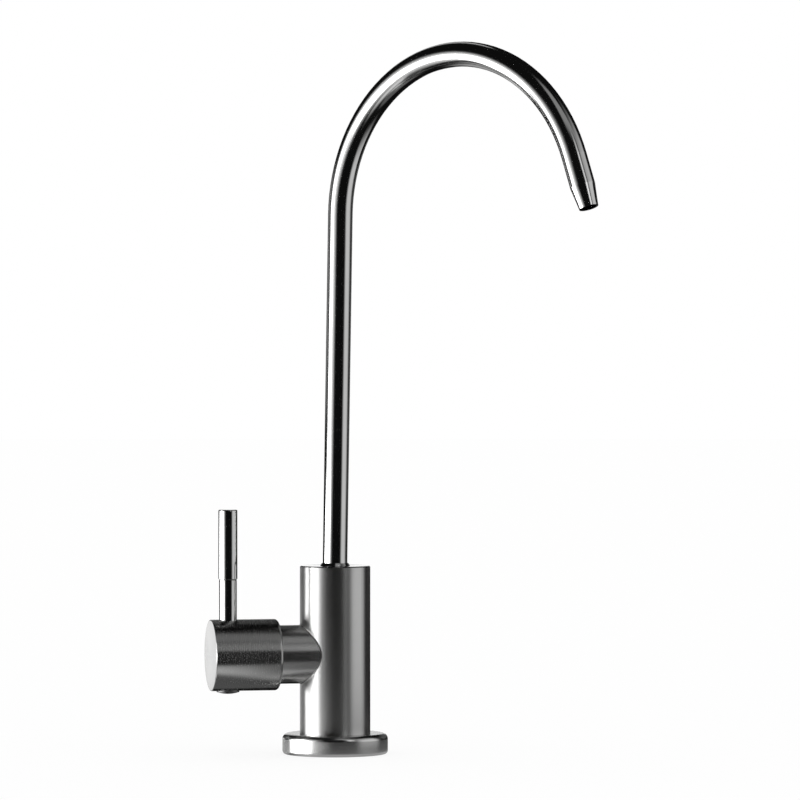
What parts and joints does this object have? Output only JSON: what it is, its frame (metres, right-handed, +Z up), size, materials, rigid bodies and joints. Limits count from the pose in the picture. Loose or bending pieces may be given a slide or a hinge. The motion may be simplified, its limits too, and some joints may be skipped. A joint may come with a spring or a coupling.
{
  "type": "drinking water faucet",
  "caption": "Deck-mounted drinking water faucet with a swivelling gooseneck spout, a round body, a side branch with a quarter-turn lever and a threaded shank.",
  "frame": {"origin": "middle of the foot's underside, on the deck", "axes": "+Z up along the body, +X the way the spout reaches at rest; the side branch and handle point to 234.2 degrees from +X, counted toward +Y"},
  "size_m": [0.1701, 0.0677, 0.3274],
  "materials": {
    "brushed_metal": "brushed",
    "polished_metal": "polished",
    "plug": "satin",
    "thread_steel": "machined",
    "small_steel": "plain",
    "brass": "machined",
    "ceramic": "lapped",
    "black_rubber": "matte",
    "white_plastic": "matte"
  },
  "bodies": {
    "base": {"body": "brushed_metal", "base_flange": "polished_metal", "flange_gasket": "black_rubber", "shank": "thread_steel", "shank_seal": "white_plastic", "deck_washer": "black_rubber", "steel_washer": "thread_steel", "lock_washer": "thread_steel", "mounting_nut": "thread_steel", "cartridge_bonnet": "brass", "bonnet_o_ring": "black_rubber", "seat_seal": "black_rubber", "fixed_disc": "ceramic", "friction_washer": "white_plastic", "spout_thrust_washer": "white_plastic", "spout_bush": "polished_metal"},
    "spout": {"spout_tube": "polished_metal", "spout_insert": "brass", "spout_o_ring_lower": "black_rubber", "spout_o_ring_upper": "black_rubber", "spout_snap_ring": "small_steel"},
    "handle": {"handle_hub": "brushed_metal", "lever_rod": "polished_metal", "lever_grip": "polished_metal", "set_screw": "small_steel", "set_screw_plug": "plug", "cartridge_stem": "brass", "moving_disc": "ceramic", "stem_o_ring_inner": "black_rubber", "stem_o_ring_outer": "black_rubber", "stem_clip": "small_steel"}
  },
  "joints": [
    {"name": "spout_swivel", "type": "hinge", "parent": "base", "child": "spout", "pos_m": [0, 0, 0.06], "axis": [0, 0, 1], "continuous": true},
    {"name": "lever_turn", "type": "hinge", "parent": "base", "child": "handle", "pos_m": [0, 0, 0.0384], "axis": [0.585, 0.8111, 0], "range_deg": [0, 90]}
  ]
}
